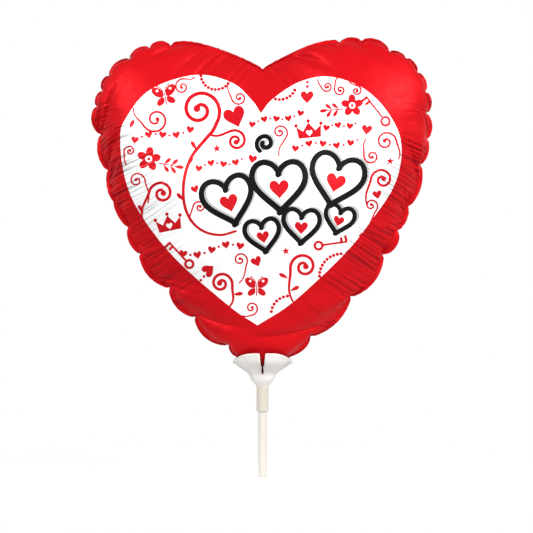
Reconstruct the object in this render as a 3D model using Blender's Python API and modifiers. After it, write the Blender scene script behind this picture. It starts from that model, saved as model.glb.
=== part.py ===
"""Small heart-shaped foil balloon, held in a moulded cup on a short tubular stick.

Metres, +Z up along the stick. The origin is the centre of the stick's lower end.
The heart faces -Y. The foils and valve films are thicker than the real film, so that
each is a workable solid.
"""

import math

import bmesh
import bpy
from mathutils import Vector
from mathutils.geometry import interpolate_bezier

MM = 0.001

# Stick: a straight plastic tube, pushed up into the cup's socket as far as the stop.
STICK_DIAMETER = 5.0 * MM
STICK_WALL = 0.45 * MM
STICK_LENGTH = 51.6 * MM

# Cup: a socket below and a bell of four petals above, moulded in one piece.
FIT_GAP = 0.3 * MM
SOCKET_DIAMETER = 7.0 * MM
SOCKET_BOTTOM = 38.0 * MM
SOCKET_LIP = 0.4 * MM
STOP_THICKNESS = 1.8 * MM
CUP_WALL = 0.8 * MM
WAIST_BOTTOM = 52.8 * MM
WAIST_RADIUS = 7.4 * MM
WAIST_TOP = 58.6 * MM
BELL_SIDE_RADIUS = 17.3 * MM
RIM_SIDE_HEIGHT = 67.3 * MM
RIM_FRONT_HEIGHT = 72.4 * MM
RIM_POWER = 4  # the rim is nearly level over each petal and falls away towards the sides
SLIT_BOTTOM = 59.5 * MM
SLIT_BOTTOM_WIDTH = 1.0 * MM
SLIT_TOP_WIDTH = 3.3 * MM
CUTTER_MARGIN = 8.0 * MM  # how far the cutters reach past the bell

# Heart: two foils sealed edge to edge, blown up with gas.
HEART_DEPTH = 92.0 * MM
NOTCH_HEIGHT = 236.5 * MM
LOBE_HALF_SPAN = 55.0 * MM
LOBE_HEIGHT = 252.3 * MM
SIDE_HALF_WIDTH = 96.3 * MM
SIDE_HEIGHT = 211.0 * MM
SHOULDER_HALF_WIDTH = 20.0 * MM
SHOULDER_HEIGHT = 72.5 * MM
NECK_HEIGHT = 64.0 * MM
DEEPEST_HEIGHT = 180.0 * MM
SCALLOPS_PER_SIDE = 14
POINTS_PER_SCALLOP = 4
SCALLOP_DEPTH = 4.2 * MM
SCALLOP_DEPTH_AT_TOP = 2.0 * MM
SEAL_WIDTH = 3.0 * MM
FOIL_THICKNESS = 0.5 * MM
SEAM_GAP = 0.3 * MM
DOME_CENTRE_HEIGHT = 172.0 * MM
DOME_ROUNDNESS = 0.62  # 0.5 is an ellipse; more is flatter near the seal and rounder on top
RING_SHARES = (0.3, 0.5, 0.66, 0.79, 0.89, 0.96, 1.0)  # the panel's rings, from its centre to the seal

# Tail: the filling neck, gathered to a strand that leaves through the cup's rear slit.
TAIL_WIDTH = 1.1 * MM
TAIL_LEVEL = 61.6 * MM
TAIL_REACH = 11.6 * MM
TAIL_END_HEIGHT = 38.5 * MM

# Valve: two plastic films welded face to face, inside the foils above the neck.
VALVE_FILM_THICKNESS = 0.4 * MM
VALVE_BOTTOM = 71.0 * MM
VALVE_TOP = 122.0 * MM
VALVE_HALF_WIDTH = 8.0 * MM
VALVE_MOUTH_HALF_WIDTH = 1.5 * MM
VALVE_SHOULDER_HALF_WIDTH = 7.0 * MM
VALVE_SHOULDER_HEIGHT = 82.0 * MM
VALVE_PARALLEL_FROM = 88.0 * MM

RED = (0.78, 0.015, 0.025)
PALE_PLASTIC = (0.76, 0.74, 0.70)
IVORY_PLASTIC = (0.86, 0.80, 0.72)
CLEAR_FILM = (0.80, 0.82, 0.84)


def clear_scene():
    for obj in list(bpy.data.objects):
        bpy.data.objects.remove(obj)


def new_collection(name):
    collection = bpy.data.collections.new(name)
    bpy.context.scene.collection.children.link(collection)
    return collection


def new_material(name, colour, roughness, metallic=0.0):
    material = bpy.data.materials.new(name)
    material.use_nodes = True
    shader = material.node_tree.nodes["Principled BSDF"]
    shader.inputs["Base Color"].default_value = (*colour, 1.0)
    shader.inputs["Roughness"].default_value = roughness
    shader.inputs["Metallic"].default_value = metallic
    return material


def new_object(name, mesh, collection, material=None, parent=None):
    obj = bpy.data.objects.new(name, mesh)
    collection.objects.link(obj)
    obj.parent = parent
    if material:
        mesh.materials.append(material)
    return obj


def joint_empty(name, height, collection, parent=None):
    """An empty on the stick's axis, for the pieces that slide along it."""
    empty = bpy.data.objects.new(name, None)
    collection.objects.link(empty)
    empty.empty_display_size = 10 * MM
    empty.parent = parent
    empty.location.z = height - (parent.location.z if parent else 0.0)
    return empty


def as_cutter(obj):
    obj.hide_render = True
    obj.display_type = "WIRE"
    return obj


def cut(obj, cutter):
    boolean = obj.modifiers.new("cut by " + cutter.name, "BOOLEAN")
    boolean.operation = "DIFFERENCE"
    boolean.solver = "EXACT"
    boolean.object = cutter


def turned(name, profile, steps, collection, material, parent=None):
    """A solid turned about Z, from (radius, height) points that run down its outer side."""
    mesh = bpy.data.meshes.new(name)
    edges = [(i, i + 1) for i in range(len(profile) - 1)]
    mesh.from_pydata([(radius, 0.0, height) for radius, height in profile], edges, [])
    obj = new_object(name, mesh, collection, material, parent)
    screw = obj.modifiers.new("turn", "SCREW")
    screw.axis = "Z"
    screw.angle = math.tau
    screw.steps = steps
    screw.render_steps = steps
    screw.use_merge_vertices = True
    screw.merge_threshold = 0.00001
    screw.use_smooth_shade = True
    return obj


def extruded(name, outline, half_depth, collection, material=None, parent=None):
    """A flat (x, z) outline given a thickness along Y, as a mesh."""
    curve = bpy.data.curves.new(name, "CURVE")
    curve.dimensions = "2D"
    curve.fill_mode = "BOTH"
    curve.extrude = half_depth
    spline = curve.splines.new("POLY")
    spline.points.add(len(outline) - 1)
    for point, (x, z) in zip(spline.points, outline):
        point.co = (x, z, 0.0, 1.0)
    spline.use_cyclic_u = True
    drawn = bpy.data.objects.new(name + " outline", curve)
    collection.objects.link(drawn)
    bpy.context.view_layer.update()
    graph = bpy.context.evaluated_depsgraph_get()
    mesh = bpy.data.meshes.new_from_object(drawn.evaluated_get(graph))
    bpy.data.objects.remove(drawn)
    bm = bmesh.new()
    bm.from_mesh(mesh)
    bmesh.ops.remove_doubles(bm, verts=bm.verts, dist=0.000001)
    bmesh.ops.recalc_face_normals(bm, faces=bm.faces)
    bm.to_mesh(mesh)
    bm.free()
    obj = new_object(name, mesh, collection, material, parent)
    obj.rotation_euler.x = math.radians(90)
    return obj


def bezier(start, handle_1, handle_2, end, steps):
    """Points along one Bezier stretch in a plane, both ends included."""
    corners = [Vector((*p, 0.0)) for p in (start, handle_1, handle_2, end)]
    return [(p.x, p.y) for p in interpolate_bezier(*corners, steps + 1)]


# ---------------------------------------------------------------- stick and cup


def make_stick(collection):
    outer = STICK_DIAMETER / 2
    bore = outer - STICK_WALL
    profile = [(outer, STICK_LENGTH), (outer, 0.0), (bore, 0.0), (bore, STICK_LENGTH)]
    profile.append(profile[0])
    material = new_material("ivory stick plastic", IVORY_PLASTIC, 0.35)
    return turned("stick", profile, 40, collection, material)


def bell_outer_side():
    """(radius, height) points up the bell's outside, from the socket to above the rim.

    The rim's arch cuts the last point away: it only carries the petals' slope on.
    """
    socket = (SOCKET_DIAMETER / 2, WAIST_BOTTOM)
    middle = (WAIST_RADIUS, WAIST_TOP)
    rim = (BELL_SIDE_RADIUS, RIM_SIDE_HEIGHT)
    waist = bezier(socket, (4.2 * MM, 54.0 * MM), (6.6 * MM, 55.6 * MM), middle, 5)
    flare = bezier(middle, (8.4 * MM, 61.8 * MM), (13.8 * MM, 63.2 * MM), rim, 6)
    petal_tip = (BELL_SIDE_RADIUS + 2.1 * MM, RIM_FRONT_HEIGHT + 1.5 * MM)
    return waist + flare[1:] + [petal_tip]


def bell_inner_side(outer_side, floor_height):
    """The outer side moved inwards by the wall, where that lies above the floor."""
    inner = []
    for below, above in zip(outer_side, outer_side[1:]):
        along = Vector(above) - Vector(below)
        inwards = Vector((-along.y, along.x)).normalized() * CUP_WALL
        middle = (Vector(above) + Vector(below)) / 2 + inwards
        if middle.y > floor_height:
            inner.append((middle.x, middle.y))
    inner.append((outer_side[-1][0] - CUP_WALL, outer_side[-1][1]))
    return inner


def slit_outline():
    """A narrow V with a round bottom, taller than the petals."""
    bottom = SLIT_BOTTOM_WIDTH / 2
    centre = SLIT_BOTTOM + bottom
    top = RIM_FRONT_HEIGHT + CUTTER_MARGIN / 2
    widening = (SLIT_TOP_WIDTH - SLIT_BOTTOM_WIDTH) / 2 / (RIM_FRONT_HEIGHT - centre)
    half_top = bottom + widening * (top - centre)
    arc = [math.radians(180 + 30 * i) for i in range(7)]
    points = [(bottom * math.cos(a), centre + bottom * math.sin(a)) for a in arc]
    return points + [(half_top, top), (-half_top, top)]


def rim_arch_outline():
    """The space above the petals, whose rim is higher at the front and rear than at the sides."""
    reach = BELL_SIDE_RADIUS + CUTTER_MARGIN
    fall = (RIM_FRONT_HEIGHT - RIM_SIDE_HEIGHT) / BELL_SIDE_RADIUS**RIM_POWER
    xs = [reach * (i / 10 - 1) for i in range(21)]
    arch = [(x, RIM_FRONT_HEIGHT - fall * x**RIM_POWER) for x in xs]
    top = RIM_FRONT_HEIGHT + CUTTER_MARGIN
    return arch + [(reach, top), (-reach, top)]


def make_cup(collection, cutters, parent):
    socket = SOCKET_DIAMETER / 2
    bore = STICK_DIAMETER / 2 + FIT_GAP
    stop = STICK_LENGTH + FIT_GAP
    floor = stop + STOP_THICKNESS
    outer_side = bell_outer_side()
    rounding = 0.6 * MM  # between the floor and the bell's inside
    inner_side = bell_inner_side(outer_side, floor + rounding)
    profile = [(0.0, floor), (inner_side[0][0] - rounding, floor)]
    profile += inner_side
    profile += reversed(outer_side)
    profile += [(socket, SOCKET_BOTTOM + SOCKET_LIP), (socket - SOCKET_LIP, SOCKET_BOTTOM)]
    profile += [(bore, SOCKET_BOTTOM), (bore, stop), (0.0, stop)]
    material = new_material("pale cup plastic", PALE_PLASTIC, 0.3)
    cup = turned("cup", [(r, z - parent.location.z) for r, z in profile], 48, collection, material, parent)

    reach = BELL_SIDE_RADIUS + CUTTER_MARGIN
    front_slits = as_cutter(extruded("front and rear slits", slit_outline(), reach, cutters))
    side_slits = as_cutter(extruded("side slits", slit_outline(), reach, cutters))
    side_slits.rotation_euler.z = math.radians(90)
    rim_arch = as_cutter(extruded("rim arch", rim_arch_outline(), reach, cutters))
    for cutter in (rim_arch, front_slits, side_slits):
        cut(cup, cutter)
    return cup


# ---------------------------------------------------------------- balloon


def crease_line():
    """The right half of the heart's edge through the seam's creases, from the neck to the notch."""
    neck = (TAIL_WIDTH / 2, NECK_HEIGHT)
    shoulder = (SHOULDER_HALF_WIDTH, SHOULDER_HEIGHT)
    side = (SIDE_HALF_WIDTH, SIDE_HEIGHT)
    lobe = (LOBE_HALF_SPAN, LOBE_HEIGHT)
    notch = (0.0, NOTCH_HEIGHT)
    funnel = bezier(neck, (neck[0], 68.5 * MM), (13.0 * MM, 67.5 * MM), shoulder, 24)
    flank = bezier(shoulder, (50.0 * MM, 99.0 * MM), (side[0], 162.0 * MM), side, 60)
    crown = bezier(side, (side[0], 236.0 * MM), (80.0 * MM, lobe[1]), lobe, 30)
    dip = bezier(lobe, (34.0 * MM, lobe[1]), (14.0 * MM, 243.0 * MM), notch, 24)
    return funnel + flank[1:] + crown[1:] + dip[1:]


def spaced(line, count):
    """count + 1 points at equal steps along a line of points."""
    lengths = [0.0]
    for a, b in zip(line, line[1:]):
        lengths.append(lengths[-1] + math.dist(a, b))
    points = []
    k = 0
    for i in range(count + 1):
        want = lengths[-1] * i / count
        while k < len(line) - 2 and lengths[k + 1] < want:
            k += 1
        share = (want - lengths[k]) / (lengths[k + 1] - lengths[k])
        points.append(Vector(line[k]).lerp(Vector(line[k + 1]), share))
    return points


def heart_outline():
    """The scalloped edge of the heart, anticlockwise from the neck's right to its left side."""
    count = SCALLOPS_PER_SIDE * POINTS_PER_SCALLOP
    line = spaced(crease_line(), count)
    right = []
    for i, point in enumerate(line):
        along = line[min(i + 1, count)] - line[max(i - 1, 0)]
        outwards = Vector((along.y, -along.x)).normalized()
        depth = SCALLOP_DEPTH
        if point.y > SIDE_HEIGHT:
            depth = SCALLOP_DEPTH_AT_TOP
        if i < POINTS_PER_SCALLOP or i > count - 2 * POINTS_PER_SCALLOP:
            depth = 0.0
        bulge = depth * abs(math.sin(math.pi * i / POINTS_PER_SCALLOP))
        right.append(point + outwards * bulge)
    left = [Vector((-p.x, p.y)) for p in reversed(right[:-1])]
    return right + left


def edge_distance(point, outline):
    """A smooth distance from a point in the heart's plane to its edge."""
    power = 8  # high, so that the nearest part of the edge counts most
    total = sum((point - p).length ** -power for p in outline)
    return (total / 2) ** (-1 / power)


def tail_path():
    """The strand's middle in the YZ plane: down the neck, back through the slit and down."""
    down = (0.0, NECK_HEIGHT)
    turn = bezier(down, (0.0, NECK_HEIGHT - 1.6 * MM), (0.9 * MM, TAIL_LEVEL), (2.8 * MM, TAIL_LEVEL), 6)
    over = (TAIL_REACH - 2.6 * MM, TAIL_LEVEL)
    drop = bezier(over, (over[0] + 1.5 * MM, TAIL_LEVEL), (TAIL_REACH, TAIL_LEVEL - 1.2 * MM),
                  (TAIL_REACH, TAIL_LEVEL - 3.0 * MM), 6)
    return [Vector(p) for p in turn + drop + [(TAIL_REACH, TAIL_END_HEIGHT)]]


def make_foil(name, side, collection, parent):
    """One foil: flat seal, domed panel and half of the tail. side is -1 at the front, 1 at the rear."""
    outline = heart_outline()
    centre = Vector((0.0, DOME_CENTRE_HEIGHT))
    seam_offset = SEAM_GAP / 2
    seal_inner = [p.lerp(centre, SEAL_WIDTH / (p - centre).length) for p in outline]
    greatest = edge_distance(Vector((0.0, DEEPEST_HEIGHT)), seal_inner)
    half_depth = HEART_DEPTH / 2 - FOIL_THICKNESS - seam_offset

    def height(flat, share):
        if share == 1.0:
            return 0.0
        rise = 1 - min(edge_distance(flat, seal_inner) / greatest, 1.0)
        return half_depth * (1 - rise * rise) ** DOME_ROUNDNESS

    def vertex(flat, y):
        return bm.verts.new((flat.x, side * (seam_offset + y), flat.y - parent_height))

    parent_height = parent.matrix_world.translation.z
    bm = bmesh.new()
    top = vertex(centre, height(centre, 0.0))
    rings = []
    for share in RING_SHARES:
        flats = [centre.lerp(p, share) for p in seal_inner]
        rings.append([vertex(flat, height(flat, share)) for flat in flats])
    rings.append([vertex(p, 0.0) for p in outline])
    for a, b in zip(rings[0], rings[0][1:] + rings[0][:1]):
        bm.faces.new((top, a, b))
    for inner, outer in zip(rings, rings[1:]):
        following = zip(inner, outer, outer[1:] + outer[:1], inner[1:] + inner[:1])
        for corners in following:
            bm.faces.new(corners)

    path = tail_path()
    right, left = rings[-1][0], rings[-1][-1]
    for i in range(1, len(path)):
        along = path[min(i + 1, len(path) - 1)] - path[i - 1]
        forwards = Vector((along.y, -along.x)).normalized()
        place = path[i] - forwards * side * seam_offset
        ends = []
        for x in (TAIL_WIDTH / 2, -TAIL_WIDTH / 2):
            ends.append(bm.verts.new((x, place.x, place.y - parent_height)))
        bm.faces.new((left, right, ends[0], ends[1]))
        right, left = ends
    bmesh.ops.recalc_face_normals(bm, faces=bm.faces)
    if top.normal.y * side < 0:
        bmesh.ops.reverse_faces(bm, faces=bm.faces)
    mesh = bpy.data.meshes.new(name)
    bm.normal_update()
    bm.to_mesh(mesh)
    bm.free()
    mesh.shade_smooth()

    material = new_material(name + " red foil", RED, 0.25, 0.3)
    foil = new_object(name, mesh, collection, material, parent)
    shell = foil.modifiers.new("thickness", "SOLIDIFY")
    shell.thickness = FOIL_THICKNESS
    shell.offset = 1.0
    return foil


def make_valve_film(name, side, collection, parent):
    """One film of the self-sealing valve: narrow in the neck, parallel above it."""
    right = [(VALVE_MOUTH_HALF_WIDTH, VALVE_BOTTOM), (VALVE_SHOULDER_HALF_WIDTH, VALVE_SHOULDER_HEIGHT),
             (VALVE_HALF_WIDTH, VALVE_PARALLEL_FROM), (VALVE_HALF_WIDTH, VALVE_TOP)]
    outline = right + [(-x, z) for x, z in reversed(right)]
    height = parent.matrix_world.translation.z
    outline = [(x, z - height) for x, z in outline]
    material = new_material(name + " clear film", CLEAR_FILM, 0.2)
    film = extruded(name, outline, VALVE_FILM_THICKNESS / 2, collection, material, parent)
    film.location.y = side * (SEAM_GAP + VALVE_FILM_THICKNESS) / 2
    return film


def main():
    clear_scene()
    parts = new_collection("heart foil balloon")
    cutters = new_collection("cutters")
    cup_slide = joint_empty("cup slide", STICK_LENGTH, parts)
    balloon_slide = joint_empty("balloon slide", NECK_HEIGHT, parts, cup_slide)
    bpy.context.view_layer.update()
    make_stick(parts)
    make_cup(parts, cutters, cup_slide)
    make_foil("front_foil", -1, parts, balloon_slide)
    make_foil("rear_foil", 1, parts, balloon_slide)
    make_valve_film("front_valve_film", -1, parts, balloon_slide)
    make_valve_film("rear_valve_film", 1, parts, balloon_slide)


main()
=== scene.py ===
"""Looks of the small heart-shaped foil balloon in its cup on a stick.

The panels are blown up by a cloth simulation whose seam is held along a scalloped heart.
The print is cut into the panels' meshes as regions with inks of their own.
Shapes are worked out in millimetres and written to the meshes in metres.
"""

import math

import bmesh
import bpy
import numpy as np
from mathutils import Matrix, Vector, geometry
from mathutils.bvhtree import BVHTree
from mathutils.kdtree import KDTree


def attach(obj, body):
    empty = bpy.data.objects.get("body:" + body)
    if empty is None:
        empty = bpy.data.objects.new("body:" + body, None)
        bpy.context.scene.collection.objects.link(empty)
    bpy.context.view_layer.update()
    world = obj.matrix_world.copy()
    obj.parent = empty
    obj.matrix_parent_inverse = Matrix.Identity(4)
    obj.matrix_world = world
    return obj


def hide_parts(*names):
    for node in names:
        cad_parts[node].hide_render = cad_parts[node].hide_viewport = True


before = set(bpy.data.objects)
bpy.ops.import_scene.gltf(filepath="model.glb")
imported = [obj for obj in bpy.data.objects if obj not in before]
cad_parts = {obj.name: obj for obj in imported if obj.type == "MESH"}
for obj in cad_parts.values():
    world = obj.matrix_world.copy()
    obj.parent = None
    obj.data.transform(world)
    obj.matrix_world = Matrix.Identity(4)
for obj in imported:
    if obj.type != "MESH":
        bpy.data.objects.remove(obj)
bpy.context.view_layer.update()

MM = 0.001

# Heart's edge through the seam's creases, in mm, as on the CAD foils.
TAIL_HALF_WIDTH = 0.55
NECK_HEIGHT = 64.0
SHOULDER = (20.0, 72.5)
SIDE = (96.3, 211.0)
LOBE = (55.0, 252.3)
NOTCH_HEIGHT = 236.5
SEAL_WIDTH = 1.7

# The seam's creases from the neck to the notch, as (x, z) and the depth in mm of the scallop that follows.
# The left side is mirrored later, so its x is positive too.
RIGHT_CREASES = ((28, 82, 5.1), (51, 105, 5.6), (69.7, 129, 3.9), (78.5, 143, 2.1), (84.5, 157, 3.8),
                 (91.5, 181, 2.5), (95.5, 196, 3.0), (95, 211, 3.2), (94.5, 223.5, 2.4), (90, 235, 1.9),
                 (83, 243, 1.7), (73.5, 246.8, 3.8), (57.3, 253, 2.4), (44.3, 251.4, 3.8))
LEFT_CREASES = ((20, 77, 5.4), (39, 93, 4.5), (53.8, 110, 4.8), (71, 129.5, 2.8), (78, 144.5, 1.5),
                (86.7, 160, 1.9), (89.8, 178, 3.7), (93.8, 198.7, 3.9), (96.3, 215, 2.1), (93, 224, 2.2),
                (89, 233, 3.1), (77, 242.5, 3.1), (65.5, 249, 3.2), (53, 249.8, 5.6))
# Lengths of film between those creases, in mm along the pattern's side before it is scaled up.
RIGHT_LENGTHS = (35, 32, 31, 13, 18, 22, 17, 15, 13, 13, 10, 11, 17, 13)
LEFT_LENGTHS = (25, 25, 21, 27, 18, 13, 22, 21, 15, 11, 10, 15, 15, 13)
CREASE_DIP = 0.5  # how much further in the short scallops' creases are held
SHORT_SCALLOP = 14.0  # a scallop up to this width has the whole dip, a wider one less
SCALLOP_FULLNESS = 0.7  # below 1, scallops are fuller than half a sine wave
EDGE_PULL = 0.3  # how much the seam is held further out, because the sealed edge curls in
OVERHANG = 0.5  # how far past the seam the film may show, as seen from the front
LAST_SCALLOP_LEAN = 0.62  # the scallop next to the notch is fullest away from the notch
SEAM_WOBBLE = 1.3  # how far the seam strays from the heart's plane, in mm
NOTCH_TWIST = (6.0, 34.0, 20.0)  # the right side's bend to the front: how far, how far before the notch, reach

# Where the print is seen from, in mm: the middle of the view as (x, z), the distance and the view's width.
VIEWER = (2.3, 122.1)
VIEWER_DISTANCE = 1300.0
VIEW_WIDTH = 309.14

# Flat pattern and simulation.
FLAT_SCALE = 1.20
FLAT_CENTRE = np.array([0.0, 165.0])
CLOTH_STEP = 2.4
CLOTH_FRAMES = 36
CLOTH_SCALE = 0.01  # mm to the simulation's unit, where a cloth of a few metres behaves
PRESSURE = 60.0
CLOTH_SETTINGS = {
    "quality": 7, "mass": 0.1, "air_damping": 2.0, "tension_stiffness": 120, "compression_stiffness": 2,
    "shear_stiffness": 60, "bending_stiffness": 0.05, "tension_damping": 5, "compression_damping": 5,
    "shear_damping": 5, "vertex_group_mass": "seam", "use_pressure": True,
}

# Fine meshes.
SKIN_STEP = 1.15
DETAIL_REACH = 30.0  # how far from the seam, in mm, the simulated folds last before they are smoothed out
SMOOTHING_ROUNDS = round(26 * (2.4 / CLOTH_STEP) ** 2)
SMOOTHING_FACTORS = (0.55, -0.57)  # one step in and one step out, so that the panel doesn't shrink
TIP_TOP = 112.0  # the height below which the film counts as the heart's tip
ROUNDING = 0.75  # how far the skin is rounded out between the cloth's points
LARGEST_PULL = 7.0  # the most that the film is drawn in behind the seam, in mm
STRIP_BOTTOM = 66.5  # the height in mm above which the welded edge is shown
OFF_SEAM = 60.0  # a distance in mm from the seam at which the film has no gathers


# ---------------------------------------------------------------- helpers


def mesh_object(name, points, faces, materials=(), face_materials=None, scale=MM):
    mesh = bpy.data.meshes.new(name)
    mesh.from_pydata((np.asarray(points) * scale).tolist(), [], [tuple(int(i) for i in f) for f in faces])
    for material in materials:
        mesh.materials.append(material)
    if face_materials is not None:
        mesh.polygons.foreach_set("material_index", np.asarray(face_materials, np.int32))
    mesh.shade_smooth()
    mesh.update()
    obj = bpy.data.objects.new(name, mesh)
    bpy.context.scene.collection.objects.link(obj)
    return obj


def bezier(start, handle_1, handle_2, end, steps):
    t = np.linspace(0, 1, steps + 1)[:, None]
    a, b, c, d = (np.array(p, float) for p in (start, handle_1, handle_2, end))
    return (1 - t) ** 3 * a + 3 * (1 - t) ** 2 * t * b + 3 * (1 - t) * t * t * c + t**3 * d


def smooth_line(points, step=1.2):
    """A Catmull-Rom curve through points, at about equal steps."""
    p = np.array(points, float)
    p = np.vstack([2 * p[0] - p[1], p, 2 * p[-1] - p[-2]])
    t = np.linspace(0, 1, 13)[:-1, None]
    pieces = []
    for a, b, c, d in zip(p, p[1:], p[2:], p[3:]):
        pieces.append(0.5 * (2 * b + (c - a) * t + (2 * a - 5 * b + 4 * c - d) * t**2
                             + (3 * b - a - 3 * c + d) * t**3))
    line = np.vstack(pieces + [p[-2:-1]])
    total = arc_lengths(line)[-1]
    return points_at(line, np.linspace(0, total, max(3, round(total / step) + 1)))


def unit(vectors):
    return vectors / np.maximum(np.linalg.norm(vectors, axis=-1, keepdims=True), 1e-9)


def left_of(along):
    """Directions square to the left of directions in a plane."""
    return np.stack([-along[:, 1], along[:, 0]], axis=1)


def heading(degrees):
    """The direction at an angle from the first axis of a plane, or a direction for each of several angles."""
    angle = np.radians(degrees)
    return np.stack([np.cos(angle), np.sin(angle)], axis=-1)


def turned(points, degrees):
    """Points in a plane, turned about its origin."""
    c, s = heading(degrees)
    return np.array(points) @ np.array([[c, s], [-s, c]])


def smoothstep(share):
    share = np.clip(share, 0, 1)
    return share * share * (3 - 2 * share)


def arc_lengths(line):
    return np.r_[0, np.cumsum(np.linalg.norm(np.diff(line, axis=0), axis=1))]


def points_at(line, wanted):
    lengths = arc_lengths(line)
    return np.stack([np.interp(wanted, lengths, line[:, k]) for k in range(line.shape[1])], axis=1)


def evenly(outline, step, margin):
    """A closed outline's points at equal steps, the last one at least margin short of the first."""
    closed = np.vstack([outline, outline[:1]])
    return points_at(closed, np.arange(0, arc_lengths(closed)[-1] - margin, step))


def wave_noise(seed, count, longest, shortest):
    """A smooth random function of one length: a sum of sines with fixed random phases."""
    rng = np.random.default_rng(seed)
    wavelengths = np.geomspace(longest, shortest, count)
    phases = rng.uniform(0, math.tau, count)
    gains = rng.uniform(0.6, 1.0, count)

    def noise(x):
        x = np.asarray(x, float)[..., None]
        return (gains * np.sin(math.tau * x / wavelengths + phases)).sum(axis=-1) / gains.sum()

    return noise


def double_area(a, b, c):
    """Twice the signed area of triangles in a plane."""
    return (b[:, 0] - a[:, 0]) * (c[:, 1] - a[:, 1]) - (b[:, 1] - a[:, 1]) * (c[:, 0] - a[:, 0])


def inside(points, outline):
    """Which points lie inside a closed outline."""
    x, z = points[:, 0], points[:, 1]
    found = np.zeros(len(points), bool)
    for (xa, za), (xb, zb) in zip(outline, np.roll(outline, 1, axis=0)):
        crosses = ((za > z) != (zb > z)) & (x < (xb - xa) * (z - za) / (zb - za + 1e-12) + xa)
        found ^= crosses
    return found


def outline_distance(points, outline):
    """Distance from each point to a closed outline, and the length along the outline of the nearest place."""
    nearest = np.full(len(points), 1e9)
    length_at = np.zeros(len(points))
    start = 0.0
    for a, b in zip(outline, np.roll(outline, -1, axis=0)):
        step = b - a
        size = np.linalg.norm(step)
        share = np.clip(((points - a) @ step) / size**2, 0, 1)
        distance = np.linalg.norm(points - a - share[:, None] * step, axis=1)
        closer = distance < nearest
        nearest[closer] = distance[closer]
        length_at[closer] = start + share[closer] * size
        start += size
    return nearest, length_at


def grid_inside(outline, step, clearance):
    """Points of a triangular grid inside an outline."""
    low, high = outline.min(axis=0), outline.max(axis=0)
    rows = np.arange(low[1], high[1], step * math.sqrt(3) / 2)
    columns = np.arange(low[0], high[0], step)
    grid = np.array([(x + step / 2 * (j % 2), z) for j, z in enumerate(rows) for x in columns])
    grid = grid[inside(grid, outline)]
    distance, _ = outline_distance(grid, outline)
    return grid[distance > clearance]


def triangulated(outlines, loose, tolerance):
    """Triangles between closed outlines and loose points, facing the front: their points, the triangles,
    and for each point the numbers of the given points that it stands for."""
    edges, start = [], 0
    for outline in outlines:
        count = len(outline)
        edges += [(start + i, start + (i + 1) % count) for i in range(count)]
        start += count
    points = [Vector(p) for p in np.vstack([*outlines, loose])]
    verts, _, faces, given, _, _ = geometry.delaunay_2d_cdt(points, edges, [], 1, tolerance)
    flat, faces = (np.array([tuple(item) for item in items]) for items in (verts, faces))
    area = double_area(*(flat[faces[:, k]] for k in range(3)))
    faces[area < 0] = faces[area < 0][:, ::-1]
    return flat, faces[np.abs(area) > 1e-9], given


def grid_faces(rows, columns, closed=False):
    """The four-sided faces between rows of points."""
    faces = []
    for row in range(rows - 1):
        for i in range(columns if closed else columns - 1):
            a, b = row * columns + i, row * columns + (i + 1) % columns
            faces.append((a, b, b + columns, a + columns))
    return faces


# ---------------------------------------------------------------- the seam and the flat pattern


def crease_line():
    """Right half of the heart's edge through its creases, from the neck to the notch."""
    neck = (TAIL_HALF_WIDTH, NECK_HEIGHT)
    tip = bezier(neck, (neck[0], 68.5), (13.0, 67.5), SHOULDER, 40)
    flank = bezier(SHOULDER, (50.0, 99.0), (SIDE[0], 162.0), SIDE, 80)
    crown = bezier(SIDE, (SIDE[0], 236.0), (80.0, LOBE[1]), LOBE, 40)
    dip = bezier(LOBE, (34.0, LOBE[1]), (14.0, 243.0), (0.0, NOTCH_HEIGHT), 40)
    return np.vstack([tip, flank[1:], crown[1:], dip[1:]])


def scallop(start, end, depth, shares, lean=1.0):
    """Points over one scallop, from crease to crease, bulging away from the heart."""
    start, end = np.array(start, float), np.array(end, float)
    width = np.linalg.norm(end - start)
    outwards = -left_of((end - start)[None] / width)
    dip = CREASE_DIP * min(1.0, SHORT_SCALLOP / width)
    arch = np.sin(math.pi * shares**lean) ** SCALLOP_FULLNESS
    bulge = (depth + dip) * arch - dip - SEAL_WIDTH + EDGE_PULL
    return start + (end - start) * shares[:, None] + outwards * bulge[:, None]


def funnel(crease, shares):
    """Points from the neck out to the first crease."""
    x, z = crease
    neck = (TAIL_HALF_WIDTH, NECK_HEIGHT)
    line = bezier(neck, (neck[0], NECK_HEIGHT + 4.2), (x - 0.7, z - 15.0 + (28 - x) * 0.32), (x, z), 40)
    total = arc_lengths(line)[-1]
    places = [np.clip(shares + step, 0, 1) * total for step in (0, 0.01, -0.01)]
    points, ahead, behind = (points_at(line, place) for place in places)
    inwards = unit(left_of(ahead - behind))
    return points + inwards * SEAL_WIDTH * np.clip(shares * 3 - 0.6, 0, 1)[:, None]


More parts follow.
